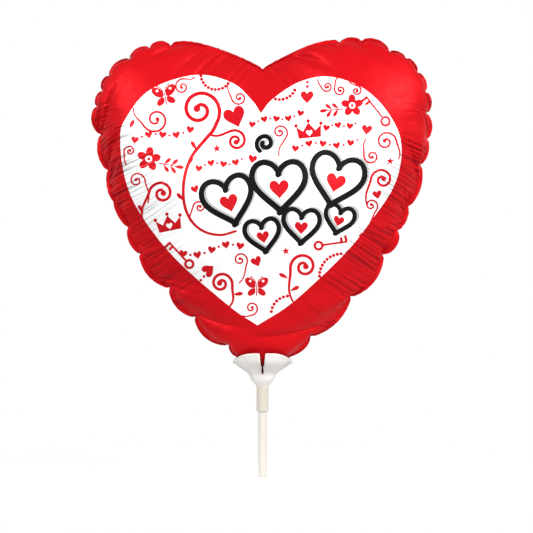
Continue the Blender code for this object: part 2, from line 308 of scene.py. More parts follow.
def seam_side(creases, film_lengths, sign):
    """Half of the seam from the neck to the notch: where it's held, and its place on the pattern."""
    line = crease_line()
    total = arc_lengths(line)[-1]
    marks = [0.0, *np.cumsum(film_lengths).tolist(), total]
    ends = [c[:2] for c in creases] + [(0.0, NOTCH_HEIGHT)]
    held, lengths = [], []
    for k, (start, end) in enumerate(zip(marks, marks[1:])):
        count = max(2, round((end - start) * FLAT_SCALE / CLOTH_STEP))
        shares = np.arange(count) / count
        lengths.append(start + (end - start) * shares)
        if k == 0:
            held.append(funnel(ends[0], shares))
        else:
            lean = LAST_SCALLOP_LEAN if k == len(creases) else 1.0
            held.append(scallop(ends[k - 1], ends[k], creases[k - 1][2], shares, lean))
    flat_held, lengths = np.vstack(held), np.concatenate(lengths)
    wobble = wave_noise(5, 6, 70.0, 16.0)
    depth = SEAM_WOBBLE * wobble(lengths + 400.0 * sign) * np.clip(lengths / 30.0, 0, 1)
    if sign > 0:
        bend, before_notch, reach = NOTCH_TWIST
        depth -= bend * np.exp(-(((lengths - (total - before_notch)) / reach) ** 2))
    depth *= np.clip((total - lengths) / 15.0, 0, 1)
    held = np.stack([flat_held[:, 0], depth, flat_held[:, 1]], axis=1)
    return held, points_at(line, lengths)


def seam_points():
    """The seam from the neck's right side round to its left side: where it's held, as (x, y, z),
    and its place on the pattern before scaling, as (x, z)."""
    right, right_place = seam_side(RIGHT_CREASES, RIGHT_LENGTHS, 1)
    left, left_place = seam_side(LEFT_CREASES, LEFT_LENGTHS, -1)
    left[:, 0] *= -1
    left_place[:, 0] *= -1
    notch = [[0.0, 0.0, NOTCH_HEIGHT - SEAL_WIDTH]]
    held = np.vstack([right, notch, left[::-1]])
    return held, np.vstack([right_place, [[0.0, NOTCH_HEIGHT]], left_place[::-1]])


# ---------------------------------------------------------------- blowing the balloon up


def blow_up(held, flat, faces, seam_count):
    """Runs Blender's cloth on both panels, sewn at the seam. Returns the front and the rear panel's points."""
    count = len(flat)
    distance, _ = outline_distance(flat, flat[:seam_count])
    puff = 1.5 * np.sqrt(np.clip(distance, 0, 30) / 30)
    front = np.stack([flat[:, 0], -puff, flat[:, 1]], axis=1)
    rear = front[seam_count:] * (1, -1, 1)
    rear_index = np.arange(count)
    rear_index[seam_count:] += count - seam_count
    both = np.vstack([faces, rear_index[faces][:, ::-1]])
    obj = mesh_object("cloth", np.vstack([front, rear]), both, scale=CLOTH_SCALE)
    group = obj.vertex_groups.new(name="seam")
    group.add(list(range(seam_count)), 1.0, "REPLACE")
    flat_key, drawn_in = obj.shape_key_add(name="flat"), obj.shape_key_add(name="drawn in")
    for i in range(seam_count):
        drawn_in.data[i].co = Vector(held[i]) * CLOTH_SCALE

    cloth = obj.modifiers.new("cloth", "CLOTH")
    settings = cloth.settings
    for name, value in CLOTH_SETTINGS.items():
        setattr(settings, name, value)
    settings.effector_weights.gravity = 0
    settings.rest_shape_key = flat_key
    cloth.collision_settings.use_collision = False
    cloth.point_cache.frame_start = 1
    cloth.point_cache.frame_end = CLOTH_FRAMES
    drawn_by = round(CLOTH_FRAMES * 0.45)
    for value, pressure, moment in ((0.0, PRESSURE * 0.15, 1), (1.0, PRESSURE, drawn_by)):
        drawn_in.value = value
        drawn_in.keyframe_insert("value", frame=moment)
        settings.uniform_pressure_force = pressure
        settings.keyframe_insert("uniform_pressure_force", frame=moment)
    for moment in range(1, CLOTH_FRAMES + 1):
        bpy.context.scene.frame_set(moment)
    evaluated = obj.evaluated_get(bpy.context.evaluated_depsgraph_get())
    settled = np.empty(len(evaluated.data.vertices) * 3, np.float32)
    evaluated.data.vertices.foreach_get("co", settled)
    settled = settled.reshape(-1, 3).astype(float) / CLOTH_SCALE
    mesh = obj.data
    bpy.data.objects.remove(obj)
    bpy.data.meshes.remove(mesh)
    for action in list(bpy.data.actions):
        bpy.data.actions.remove(action)
    bpy.context.scene.frame_set(1)
    return settled[:count], settled[rear_index]


def eased(points, faces, distance, seam_count):
    """The panel with its long folds smoothed out away from the seam, where the real film is taut."""
    pairs = np.sort(np.vstack([faces[:, [0, 1]], faces[:, [1, 2]], faces[:, [2, 0]]]), axis=1)
    edges = np.unique(pairs, axis=0)
    degree = np.bincount(edges.reshape(-1), minlength=len(points))[:, None]
    smooth = points.copy()
    for _ in range(SMOOTHING_ROUNDS):
        for factor in SMOOTHING_FACTORS:
            total = np.zeros_like(smooth)
            np.add.at(total, edges[:, 0], smooth[edges[:, 1]])
            np.add.at(total, edges[:, 1], smooth[edges[:, 0]])
            moved = smooth + factor * (total / degree - smooth)
            moved[:seam_count] = smooth[:seam_count]
            smooth = moved
    tip = np.clip((TIP_TOP - points[:, 2]) / 22.0, 0, 1)
    keep = np.exp(-((distance / DETAIL_REACH) ** 2)) * (1 - 0.85 * tip)
    return smooth + (points - smooth) * keep[:, None]


def held_behind_seam(points, distance, seam_count, side):
    """Draws the film in where it would hide the seam's scallops from the viewer. The gathers do that
    on the real film, which the cloth's points are too far apart to fold."""
    eye = np.array([VIEWER[0] * -side, VIEWER[1]])
    nearer = VIEWER_DISTANCE / (VIEWER_DISTANCE - side * points[:, 1])
    seen = eye + (points[:, [0, 2]] - eye) * nearer[:, None]
    outline = seen[:seam_count]
    inwards = unit(left_of(np.roll(outline, -2, axis=0) - np.roll(outline, 2, axis=0)))
    gap, length = outline_distance(seen, outline)
    gap = np.where(inside(seen, outline), gap, -gap)
    marks = arc_lengths(outline)
    way = unit(np.stack([np.interp(length, marks, inwards[:, k]) for k in range(2)], axis=1))
    least = -OVERHANG * np.clip(distance / 8.0, 0, 1)
    soft = 1.2 * np.clip(distance / 10.0, 0, 1)
    wanted = (gap + least + np.sqrt((gap - least) ** 2 + soft**2)) / 2
    pulled = np.clip(wanted - gap, 0, LARGEST_PULL) * np.clip((70.0 - distance) / 20.0, 0, 1)
    pulled[:seam_count] = 0
    drawn = points.copy()
    drawn[:, [0, 2]] += way * pulled[:, None]
    return drawn


def vertex_normals(points, faces):
    a, b, c = (points[faces[:, k]] for k in range(3))
    across = np.cross(b - a, c - a)
    normals = np.zeros_like(points)
    for k in range(3):
        np.add.at(normals, faces[:, k], across)
    return unit(normals)


class Panel:
    """One blown-up panel, readable at any place of its flat pattern."""

    def __init__(self, points, flat, faces, side, seam_normals):
        self.points, self.flat, self.faces, self.side = points, flat, faces, side
        self.outline = flat[: len(seam_normals)]
        self.normals = vertex_normals(points, faces if side < 0 else faces[:, ::-1])
        self.lift_normals = self.normals.copy()
        self.lift_normals[: len(seam_normals)] = seam_normals
        lying = [Vector((x, z, 0.0)) for x, z in flat]
        self.flat_tree = BVHTree.FromPolygons(lying, faces.tolist())
        self.tree = BVHTree.FromPolygons([Vector(p) for p in points], faces.tolist())

    def shares(self, index, places, corners):
        """Barycentric shares of places in the triangles named by index."""
        a, b, c = (corners[self.faces[index, k]] for k in range(3))
        area = double_area(a, b, c)
        area = np.where(np.abs(area) < 1e-9, 1e-9, area)
        u, v = double_area(places, b, c) / area, double_area(places, c, a) / area
        shares = np.clip(np.nan_to_num(np.stack([u, v, 1 - u - v], axis=1)), 0, 1)
        return shares / np.maximum(shares.sum(axis=1)[:, None], 1e-9)

    def read(self, places):
        """Points and normals of the blown-up panel at flat places, rounded between the cloth's points."""
        index = np.array([self.flat_tree.find_nearest(Vector((x, z, 0.0)))[2] for x, z in places])
        shares = self.shares(index, places, self.flat)
        corners = [self.points[self.faces[index, k]] for k in range(3)]
        lifts = [self.lift_normals[self.faces[index, k]] for k in range(3)]
        straight = sum(shares[:, k : k + 1] * corners[k] for k in range(3))
        curved = np.zeros_like(straight)
        for k in range(3):
            off = ((straight - corners[k]) * lifts[k]).sum(axis=1, keepdims=True)
            curved += shares[:, k : k + 1] * (straight - off * lifts[k])
        normals = sum(shares[:, k : k + 1] * self.normals[self.faces[index, k]] for k in range(3))
        return straight + ROUNDING * (curved - straight), unit(normals)

    def flat_places(self, seen):
        """The places of the flat pattern that the viewer sees at (x, z) in the heart's plane."""
        eye = Vector((VIEWER[0] * -self.side, self.side * VIEWER_DISTANCE, VIEWER[1]))
        hits = [self.tree.ray_cast(eye, Vector((x, 0.0, z)) - eye) for x, z in seen * (-self.side, 1)]
        index = np.array([hit[2] for hit in hits])
        shares = self.shares(index, np.array([(hit[0].x, hit[0].z) for hit in hits]), self.points[:, [0, 2]])
        return sum(shares[:, k : k + 1] * self.flat[self.faces[index, k]] for k in range(3))


def make_panels():
    held, place = seam_points()
    outline = (place - FLAT_CENTRE) * FLAT_SCALE + FLAT_CENTRE
    count = len(outline)
    grid = grid_inside(outline, CLOTH_STEP, CLOTH_STEP * 0.6)
    flat, faces, _ = triangulated([outline], grid, 1e-5)
    distance, _ = outline_distance(flat, outline)
    settled = []
    for points, side in zip(blow_up(held, flat, faces, count), (-1, 1)):
        points = eased(points, faces, distance, count)
        settled.append(held_behind_seam(points, distance, count, side))
    front, rear = settled
    seam_normals = unit(vertex_normals(front, faces)[:count] + vertex_normals(rear, faces[:, ::-1])[:count])
    return [Panel(points, flat, faces, side, seam_normals) for points, side in ((front, -1), (rear, 1))]


# ---------------------------------------------------------------- printed shapes

RED_GROUND, WHITE, RED_INK, BLACK, GREY = range(5)

# The white heart of the print, seen square from the front, in mm from the notch round its right side.
WHITE_HEART_RIGHT = ((-1, 211), (6.3, 219.6), (21.8, 229.3), (39, 232.2), (58.5, 225.4), (73, 210.9),
                     (80.5, 193), (76.9, 170.4), (63.3, 149.1), (46.9, 128.8), (17.9, 101.7), (-2.9, 88))
WHITE_HEART_LEFT = ((-2.9, 88), (-18.9, 98.8), (-49.8, 125.9), (-70.1, 151.5), (-79.4, 172), (-82.5, 195),
                    (-79.8, 207), (-65.3, 224.5), (-39, 233.2), (-18, 228.8), (-6.3, 218.7), (-1, 211))


class Print:
    """Printed shapes in the order they are laid down, each an ink and an outline in mm."""

    def __init__(self):
        self.shapes = []

    def fill(self, outline, ink=RED_INK):
        self.shapes.append((ink, np.array(outline, float)))

    def placed(self, form, centre, size, tilt=0.0, ink=RED_INK):
        self.fill(turned(form, tilt) * size + np.array(centre, float), ink)

    def disc(self, centre, radius, ink=RED_INK):
        count = 8 if radius < 1 else 14
        self.placed([heading(360 * i / count) for i in range(count)], centre, radius, ink=ink)

    def stroke(self, line, start_width, end_width=None, ink=RED_INK):
        """A pen stroke with round ends, from one width to the other."""
        end_width = start_width if end_width is None else end_width
        along = unit(np.gradient(line, axis=0))
        across = left_of(along)
        half = np.linspace(start_width, end_width, len(line))[:, None] / 2
        fan = np.radians(np.array([45, 90, 135]))[:, None]
        far = line[-1] + half[-1] * (across[-1] * np.cos(fan) + along[-1] * np.sin(fan))
        near = line[0] - half[0] * (across[0] * np.cos(fan) + along[0] * np.sin(fan))
        self.fill(np.vstack([line + across * half, far, (line - across * half)[::-1], near]), ink)

    def heart(self, centre, size, tilt=0.0, ink=RED_INK):
        right = np.vstack([bezier((0, -0.52), (0.16, -0.28), (0.54, -0.06), (0.5, 0.2), 7)[:-1],
                           bezier((0.5, 0.2), (0.47, 0.5), (0.1, 0.52), (0, 0.22), 7)[:-1]])
        left = right[1:][::-1] * (-1, 1)
        self.placed(np.vstack([right, [[0, 0.22]], left]), centre, size, tilt, ink)

    def star(self, centre, size, tilt):
        self.placed([heading(90 + 36 * i) * (0.21 if i % 2 else 0.5) for i in range(10)], centre, size, tilt)

    def leaf(self, base, length, tilt):
        side = bezier((0, 0), (0.3, 0.02), (0.62, 0.36), (1, 0.06), 7)
        other = bezier((1, 0.06), (1.02, -0.26), (0.45, -0.3), (0, 0), 6)[1:-1]
        self.placed(np.vstack([side, other]), base, length, tilt)

    def curl(self, centre, radius, sense, start, bend, width, turns, stem_width=None):
        """A curl that winds inwards to a round drop. Its stem leaves start and runs smoothly into it."""
        centre, start = np.array(centre, float), np.array(start, float)
        apart = start - centre
        away = np.linalg.norm(apart)
        angle = math.atan2(apart[1], apart[0]) + sense * math.acos(min(0.98, radius / away))
        t = np.linspace(0, 1, max(14, round(turns * 26)))
        angles = angle + sense * math.tau * turns * t
        reach = radius * (1 - 0.86 * t**0.9)
        winding = np.stack([np.cos(angles), np.sin(angles)], axis=1) * reach[:, None] + centre
        straight = winding[0] - start
        tilt = math.degrees(math.atan2(straight[1], straight[0]))
        length = np.linalg.norm(straight)
        stem = bezier(start, start + heading(tilt - sense * bend) * length * 0.45,
                      winding[0] - heading(tilt) * length * 0.4, winding[0], max(6, round(length / 1.1)))
        self.stroke(stem, stem_width or width * 0.7, width)
        self.stroke(winding, width)
        self.disc(winding[-1], width * 0.95)

    def garland(self, line, size):
        """A row of little hearts with dots between them."""
        for i, place in enumerate(line):
            if i % 2:
                self.disc(place, size * 0.17)
            else:
                self.heart(place, size, 12 if i % 4 else -10)

    def sprig(self, base, tilt, length):
        """A short stem with two pairs of leaves and one at its end."""
        base = np.array(base, float)
        way = heading(tilt) * length
        self.stroke(np.array([base + way * share for share in (0, 0.35, 0.7)]), 0.7, 0.5)
        for share in (0.2, 0.52):
            for lean in (48, -48):
                self.leaf(base + way * share, length * 0.42, tilt + lean)
        self.leaf(base + way * 0.66, length * 0.46, tilt)

    def key(self, bow, tilt, length):
        """A plain key: a ring, a shaft and two teeth."""
        bow = np.array(bow, float)
        way, side = heading(tilt), heading(tilt + 90)
        self.stroke(np.linspace(bow, bow + way * length, 8), 1.3, 1.1)
        self.disc(bow, length * 0.18)
        self.disc(bow, length * 0.09, WHITE)
        for share, reach in ((0.98, 0.2), (0.82, 0.15)):
            root = bow + way * length * share
            self.stroke(np.array([root, root + side * length * reach]), 1.5)

    def butterfly(self, centre, size, tilt):
        centre = np.array(centre, float)
        wing = [heading(30 * i) * (1.0, 0.62) for i in range(12)]
        up = heading(tilt + 90) * size
        for sign in (1, -1):
            for angle, reach, width in ((42, 0.34, 0.56), (-38, 0.25, 0.42)):
                lean = tilt + 90 + sign * (angle - 90)
                self.placed(wing, centre + heading(lean) * size * reach, size * width / 2, lean)
            feeler = smooth_line([centre, centre + heading(tilt + 90 - sign * 12) * size * 0.32,
                                  centre + heading(tilt + 90 - sign * 26) * size * 0.52], 0.8)
            self.stroke(feeler, 0.45)
            self.disc(feeler[-1], 0.55)
            self.disc(centre + heading(tilt + 90 - sign * 42) * size * 0.4, size * 0.055, WHITE)
        body = np.array([centre - up * 0.3, centre, centre + up * 0.2])
        self.stroke(body, 1.5, 1.2, WHITE)
        self.stroke(body, 0.7, 0.5)

    def flower(self, centre, size, tilt):
        petal = [heading(36 * k) * (1.0, 0.74) for k in range(10)]
        for lean in range(tilt, tilt + 360, 72):
            self.placed(petal, centre + heading(lean) * size * 0.3, size * 0.23, lean)
        self.disc(centre, size * 0.15, WHITE)
        self.disc(centre, size * 0.07)

    def crown(self, centre, size, tilt):
        form = [(-0.46, -0.3), (0.46, -0.3), (0.52, 0.2), (0.26, -0.02), (0, 0.34), (-0.26, -0.02),
                (-0.52, 0.2)]
        self.placed(form, centre, size, tilt)
        for place in turned([(-0.52, 0.25), (0, 0.4), (0.52, 0.25)], tilt):
            self.disc(centre + size * place, size * 0.075)
        self.heart(centre + size * turned([(0, -0.1)], tilt)[0], size * 0.26, tilt, WHITE)


def draw_swirls(p):
    """The large curls with their stems and leaves."""
    trunk = smooth_line(((-15.5, 142.6), (-24, 140.4), (-33, 142), (-40, 147), (-44.5, 155), (-46, 165),
                         (-44.8, 176), (-41, 186), (-34.5, 194.3), (-29, 200.5)), 1.2)
    p.stroke(trunk, 1.4, 2.1)
    p.curl((-36.5, 213), 12.2, 1, trunk[-1], 4, 2.2, 1.5, 2.1)
    p.curl((-15.5, 195), 6.2, -1, (-30.5, 198.5), -30, 1.6, 1.5, 1.3)
    p.curl((-62, 207.3), 7.8, 1, (-75, 214), 30, 1.3, 1.45)
    p.curl((-58.5, 164.5), 7.2, -1, (-69.5, 149), 30, 1.7, 1.45, 1.1)
    p.curl((24, 122), 7.9, -1, (17.5, 102), 25, 1.8, 1.5, 1.2)
    p.curl((-24, 112.3), 6.6, 1, (-19, 99), 35, 1.7, 1.5, 1.2)
    p.curl((69.5, 172.5), 6.6, -1, (60.5, 158), 25, 1.5, 1.4, 1.0)
    p.curl((71.5, 194.5), 6.2, 1, (79, 184.5), 30, 1.2, 1.4)
    p.curl((63.3, 186), 4.6, 1, (60, 196), 30, 1.1, 1.35)
    for base, tilt in (((-44, 180.5), 55), ((-45.8, 160), 130), ((-38.5, 189.5), 118), ((14.8, 115), 150),
                       ((15.8, 108), 25), ((-17.3, 106), 5), ((-77.5, 202), 60), ((-69, 152.5), 120)):
        p.leaf(base, 6.0, tilt)


def draw_fine_curls(p):
    for centre, radius, sense, start, bend in (
        ((-46.5, 226.3), 4.6, 1, (-39.5, 231.8), -30), ((-13.5, 220), 4.4, 1, (-20, 227.5), 25),
        ((37.5, 226.5), 3.2, 1, (32, 230.5), 20), ((45, 224.5), 3.4, 1, (43.5, 231.6), 30),
        ((54.5, 224), 3.0, -1, (50.5, 229), -20), ((-73, 172), 4.8, 1, (-66.5, 159), 25),
        ((-36.5, 156.5), 3.8, -1, (-42, 148.5), 20), ((10, 200), 4.6, 1, (9.5, 186.5), -30),
        ((63, 157.5), 4.0, 1, (56, 140), 25), ((-13, 126), 4.4, 1, (-13.5, 112.5), 25),
        ((-6.5, 98), 4.2, 1, (-11.5, 93.5), 30), ((-77, 189), 3.4, -1, (-79, 181), 20),
    ):
        p.curl(centre, radius, sense, start, bend, 1.0, 1.35, 0.8)


def draw_small_things(p):
    for centre, size, tilt in (
        ((-16, 209), 12.5, 20), ((-5.8, 184.5), 5.0, -12), ((-39.2, 167), 4.6, 20), ((25.8, 220.5), 7.4, 0),
        ((60.5, 201.5), 6.0, -8), ((66.5, 163.8), 5.2, 10), ((-3.5, 125), 6.2, 25), ((-31.3, 120), 7.4, 130)):
        p.heart(centre, size, tilt)
    for centre, size, tilt in (((-26.5, 190.5), 5.2, 8), ((74, 183.2), 4.8, -5), ((13.5, 131), 5.0, 10)):
        p.star(centre, size, tilt)
    for centre, radius, start, end, count in (
        ((-27, 233.5), 8.8, 185, 350, 13), ((10, 228.5), 9.6, 255, 335, 7),
        ((46, 116.5), 13, 92, 180, 10), ((15.5, 94.5), 10.5, 96, 172, 7)):
        for angle in np.linspace(start, end, count):
            p.disc(centre + radius * heading(angle), 1.0)
    for place in ((26, 231.5), (26, 229), (26, 226.5), (-34, 116.3), (-35.8, 114.2)):
        p.disc(place, 0.9)
    for start, end, rise, count, size in (
        ((-74, 195.5), (-42, 201.5), 1.6, 9, 4.4), ((-6, 204.5), (22, 211), 1.4, 9, 4.0),
        ((37, 202.5), (54, 205), 1.0, 6, 4.0), ((19, 190.5), (55, 195.5), 1.8, 10, 4.2),
        ((-37, 179), (-12, 184.5), 1.6, 8, 4.2), ((-46, 129.5), (-13, 134), -1.8, 9, 4.6)):
        shares = np.linspace(0, 1, count)[:, None]
        p.garland(start + shares * np.subtract(end, start) + np.sin(shares * math.tau) * (0, rise), size)
    p.butterfly((-56.5, 220.5), 14.5, 12)
    p.butterfly((-3.4, 109.5), 14, 0)
    p.flower((-66, 184.5), 13.5, 10)
    p.sprig((-60, 182), -10, 13)
    p.flower((52, 215.5), 12.5, 20)
    p.sprig((46.5, 213.5), 186, 12)
    p.crown((-54.3, 147), 14, 12)
    p.crown((27, 201), 14, 6)
    p.key((-42.5, 123.5), 133, 17)
    p.key((71.3, 206.3), 128, 18)
    p.key((32.5, 134.2), 8, 16.5)


def draw_bold_middle(p):
    """Black outlined hearts with red hearts in them and one black curl, each with a grey shadow."""
    half_heart = np.vstack([bezier((-0.01, 0.17), (0.07, 0.46), (0.46, 0.5), (0.5, 0.16), 11)[:-1],
                            bezier((0.5, 0.16), (0.52, -0.12), (0.2, -0.3), (-0.02, -0.54), 11)])
    bold_lines = []
    for centre, width, tilt, stroke in (((-20, 161.5), 29, 16, 3.4), ((9.5, 170), 31, 3, 3.6),
                                        ((43, 173.5), 31, -14, 3.4), ((0, 141), 20, 10, 2.9),
                                        ((22.5, 146.5), 21, -2, 2.9), ((44.5, 150), 17, -14, 2.7)):
        for half in (half_heart, half_heart * (-1, 1) + (0.0, 0.015)):
            bold_lines.append((turned(half, tilt) * width + centre, stroke))
        p.heart(centre + heading(tilt - 90) * width * 0.09, width * 0.36, tilt)
    t = np.linspace(0, 1, 30)
    curl = heading(235 - 432 * t) * (5.4 * (1 - 0.72 * t))[:, None] + (1.5, 193.5)
    bold_lines.append((curl, 2.7))
    for ink, shift in ((GREY, (1.3, 0.55)), (GREY, (0.7, 0.3)), (BLACK, (0, 0))):
        for line, width in bold_lines:
            p.stroke(line + shift, width * 0.92, width, ink)


def make_print():
    p = Print()
    halves = [smooth_line(half, 1.6)[:-1] for half in (WHITE_HEART_RIGHT, WHITE_HEART_LEFT)]
    p.fill(np.vstack(halves), WHITE)
    draw_swirls(p)
    draw_fine_curls(p)
    draw_small_things(p)
    draw_bold_middle(p)
    return p.shapes


# ---------------------------------------------------------------- the panels' skins


def on_flat(panel, shapes):
    """The outlines moved from where they show to the flat pattern."""
    lengths = [len(outline) for _, outline in shapes]
    flat = panel.flat_places(np.vstack([outline for _, outline in shapes]))
    return np.split(flat, np.cumsum(lengths)[:-1])


def inked(middles, inks, outlines):
    """The ink on each place: that of the last shape laid over it, inside the white heart."""
    found = np.full(len(middles), RED_GROUND)
    white = inside(middles, outlines[0])
    for ink, outline in zip(inks, outlines):
        low, high = outline.min(axis=0), outline.max(axis=0)
        near = np.flatnonzero(white & (middles >= low).all(axis=1) & (middles <= high).all(axis=1))
        if len(near):
            found[near[inside(middles[near], outline)]] = ink
    return found


def clear_of(grid, points, gap):
    tree = KDTree(len(points))
    for i, (x, z) in enumerate(points):
        tree.insert((x, z, 0.0), i)
    tree.balance()
    return grid[[tree.find((x, z, 0.0))[2] > gap for x, z in grid]]


def pleats(lengths, distance, side):
    """Fine gathers square to the seam, in mm along the skin's normal."""
    drift = wave_noise(31 + side, 4, 60.0, 20.0)
    fine = wave_noise(41 + side, 7, 7.5, 3.4)
    broad = wave_noise(51 + side, 5, 26.0, 11.0)
    patch = wave_noise(61 + side, 4, 90.0, 34.0)
    along = lengths + 1.6 * drift(distance)
    rise = np.clip(distance / 7.0, 0, 1) ** 0.8
    fine_reach = np.exp(-((distance / 27.0) ** 2))
    broad_reach = np.exp(-((distance / 36.0) ** 2))
    strength = np.clip(0.75 + 0.6 * patch(lengths), 0.15, 1.3)
    return rise * strength * (0.34 * fine_reach * fine(along) + 0.30 * broad_reach * broad(along))


def flank_weight(points):
    """How strongly the seam gathers the film: less round the lobes and near the tip, and not on the
    heart's middle line."""
    x, z = np.abs(points[:, 0]), points[:, 2]
    top = np.clip((z - 200.0) / 35.0, 0, 1)
    tip = np.clip((TIP_TOP - z) / 30.0, 0, 1)
    return (1 - 0.75 * top) * (1 - 0.55 * tip) * smoothstep((x - 2.0) / 14.0)


def seal_strip(seam):
    """The outer points of the welded edge outside the seam, in mm."""
    along = np.roll(seam, -2, axis=0) - np.roll(seam, 2, axis=0)
    outwards = unit(np.stack([along[:, 2], np.zeros(len(seam)), -along[:, 0]], axis=1))
    for _ in range(2):
        outwards = unit(outwards + 0.5 * (np.roll(outwards, 1, axis=0) + np.roll(outwards, -1, axis=0)))
    flutter = wave_noise(71, 5, 24.0, 7.0)
    outer = seam + outwards * SEAL_WIDTH * np.clip((seam[:, 2:3] - 66.0) / 6.0, 0.15, 1)
    outer[:, 1] += 0.35 * flutter(arc_lengths(seam))
    return outer


def make_skin(panel, shapes, name, materials):
    """The shown mesh of one panel, with its print, its gathers and its half of the welded edge."""
    seam = evenly(panel.outline, SKIN_STEP, SKIN_STEP / 2)
    outlines = on_flat(panel, shapes)
    grid = clear_of(grid_inside(seam, SKIN_STEP, SKIN_STEP * 0.6), np.vstack(outlines), 0.5)
    flat, faces, given = triangulated([seam, *outlines], grid, 1e-4)
    inks = inked(flat[faces].mean(axis=1), [ink for ink, _ in shapes], outlines)

    surface, normals = panel.read(flat)
    distance, lengths = outline_distance(flat, panel.outline)
    weight = flank_weight(surface)
    surface = surface + normals * (pleats(lengths, distance, panel.side) * weight)[:, None]
    distance = distance + OFF_SEAM * (1 - weight)
    place_of = {numbers[0]: i for i, numbers in enumerate(given) if numbers}
    ring = [place_of[i] for i in range(len(seam)) if i in place_of]
    outer = seal_strip(surface[ring])
    outer[:, 1] += panel.side * 0.05
    count = len(surface)
    surface = np.vstack([surface, outer])
    strip = []
    for i, (a, b) in enumerate(zip(ring, ring[1:] + ring[:1])):
        c, d = count + i, count + (i + 1) % len(ring)
        if surface[c, 2] > STRIP_BOTTOM and surface[d, 2] > STRIP_BOTTOM:
            strip += [(a, c, d), (a, d, b)]
    faces = np.vstack([faces, strip])
    inks = np.r_[inks, np.full(len(strip), RED_GROUND)]
    if panel.side > 0:
        faces = faces[:, ::-1]
    skin = mesh_object(name, surface, faces, materials, inks)
    add_seam_map(skin, np.r_[lengths, lengths[ring]], np.r_[distance, np.full(len(ring), -SEAL_WIDTH)])
    return skin


def add_seam_map(obj, lengths, distance):
    """A UV map of the length along the seam and the distance from it, in tenths of a metre."""
    layer = obj.data.uv_layers.new(name="seam")
    corner = np.empty(len(obj.data.loops), np.int32)
    obj.data.loops.foreach_get("vertex_index", corner)
    values = np.stack([lengths[corner], distance[corner]], axis=1) / 100.0
    layer.data.foreach_set("uv", values.astype(np.float32).reshape(-1))


# ---------------------------------------------------------------- materials

# How deep the film's bumps are, in metres.
GATHER_DEPTH = 0.0021
CRINKLE_DEPTH = 0.00022
GRAIN_DEPTH = 0.000012


class Nodes:
    """Short calls for building the node tree of a material or a world, round its own shader."""

    def __init__(self, owner, shader_name="Principled BSDF"):
        owner.use_nodes = True
        self.owner, self.tree = owner, owner.node_tree
        self.shader = self.tree.nodes[shader_name]

    def feed(self, node, values):
        """Links outputs to a node's sockets, or sets the sockets' own values."""
        for key, value in values.items():
            if isinstance(value, bpy.types.NodeSocket):
                self.tree.links.new(value, node.inputs[key])
            else:
                node.inputs[key].default_value = value

    def add(self, kind, values, **settings):
        node = self.tree.nodes.new(kind)
        for key, value in settings.items():
            setattr(node, key, value)
        self.feed(node, values)
        return node.outputs

    def maths(self, operation, a, b, clamp=False):
        return self.add("ShaderNodeMath", {0: a, 1: b}, operation=operation, use_clamp=clamp)[0]

    def ramp(self, value, low, high, to_low=0.0, to_high=1.0):
        values = {"Value": value, "From Min": low, "From Max": high, "To Min": to_low, "To Max": to_high}
        return self.add("ShaderNodeMapRange", values, interpolation_type="SMOOTHSTEP")["Result"]

    def noise(self, vector, scale, detail=2.0, roughness=0.5):
        values = {"Vector": vector, "Scale": scale, "Detail": detail, "Roughness": roughness}
        return self.add("ShaderNodeTexNoise", values)["Fac"]

    def stretched(self, vector, scale):
        return self.add("ShaderNodeMapping", {"Vector": vector, "Scale": scale})["Vector"]

    def bump(self, height, distance, normal=None):
        values = {"Height": height, "Distance": distance, "Strength": 1.0}
        if normal is not None:
            values["Normal"] = normal
        return self.add("ShaderNodeBump", values)["Normal"]

    def mix(self, share, a, b):
        return self.add("ShaderNodeMix", {0: share, 6: a, 7: b}, data_type="RGBA")[2]

    def place(self):
        return self.add("ShaderNodeTexCoord", {})["Object"]


def foil_material(name, colour, crease_shade_colour, metallic, roughness, gloss=0.16):
    """Printed metallised film: gathered near the seam, faintly crinkled, with a soft sheen, and painted shade
    in the gathers' valleys.
    """
    n = Nodes(bpy.data.materials.new(name))
    seam = n.add("ShaderNodeUVMap", {}, uv_map="seam")["UV"]
    place = n.place()
    from_seam = n.add("ShaderNodeSeparateXYZ", {0: seam})["Y"]
    gathers = n.noise(n.stretched(seam, (1.0, 0.055, 1.0)), 52.0, 1.5, 0.45)
    reach = n.maths("MULTIPLY", n.ramp(from_seam, 0.0, 0.05), n.ramp(from_seam, 0.2, 0.58, 1.0, 0.0))
    patches = n.ramp(n.noise(n.stretched(seam, (1.0, 0.3, 1.0)), 3.2, 1.0), 0.31, 0.57)
    gather_share = n.maths("MULTIPLY", reach, patches)
    crinkle = n.noise(place, 210.0, 3.0, 0.55)
    grain = n.noise(place, 2600.0)
    normal = n.bump(n.maths("MULTIPLY", gathers, gather_share), GATHER_DEPTH)
    normal = n.bump(crinkle, CRINKLE_DEPTH, normal)
    normal = n.bump(grain, GRAIN_DEPTH, normal)
    # Painted shade: the gathers' valleys are mixed towards the crease shade colour. The cloudy noise is the
    # film's own tone, varying at random.
    valley_shade = n.maths("MULTIPLY", n.ramp(gathers, 0.52, 0.36), gather_share)
    cloudy = n.ramp(n.noise(place, 34.0), 0.3, 0.7, 0.0, 0.14)
    share = n.maths("ADD", n.maths("MULTIPLY", valley_shade, 0.75), cloudy, clamp=True)
    n.feed(n.shader, {
        "Base Color": n.mix(share, (*colour, 1), (*crease_shade_colour, 1)),
        "Roughness": n.ramp(crinkle, 0.25, 0.75, roughness - 0.05, roughness + 0.07),
        "Metallic": metallic, "Specular IOR Level": gloss, "Normal": normal,
    })
    return n.owner


